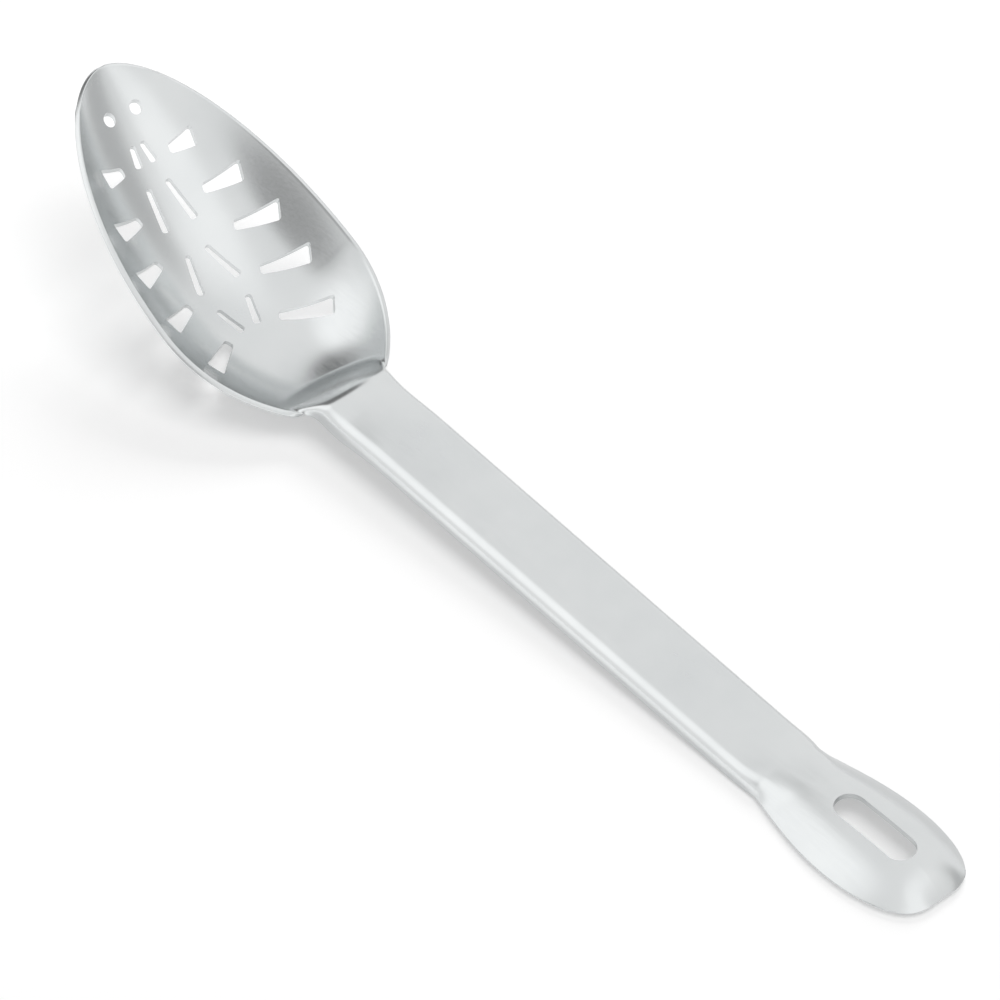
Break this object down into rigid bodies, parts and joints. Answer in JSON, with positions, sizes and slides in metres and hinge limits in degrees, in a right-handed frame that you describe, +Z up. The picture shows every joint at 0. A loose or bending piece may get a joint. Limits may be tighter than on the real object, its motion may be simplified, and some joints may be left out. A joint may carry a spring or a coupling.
{
  "type": "slotted serving spoon",
  "caption": "Pressed stainless steel serving spoon with a deep drawn bowl pierced by tapered slots, a channel handle and an arched leaf-shaped end with a hanging slot.",
  "frame": {"origin": "middle of the length and width, on the surface that the spoon lies on", "axes": "+Y from the hanging end to the bowl's tip, +Z up out of the bowl's open side, +X across"},
  "size_m": [0.064, 0.33, 0.0576],
  "materials": {
    "satin_steel": "satin, finely brushed along its length"
  },
  "bodies": {
    "root": {"bowl": "satin_steel", "neck": "satin_steel", "handle": "satin_steel", "hanging_end": "satin_steel"}
  },
  "joints": []
}
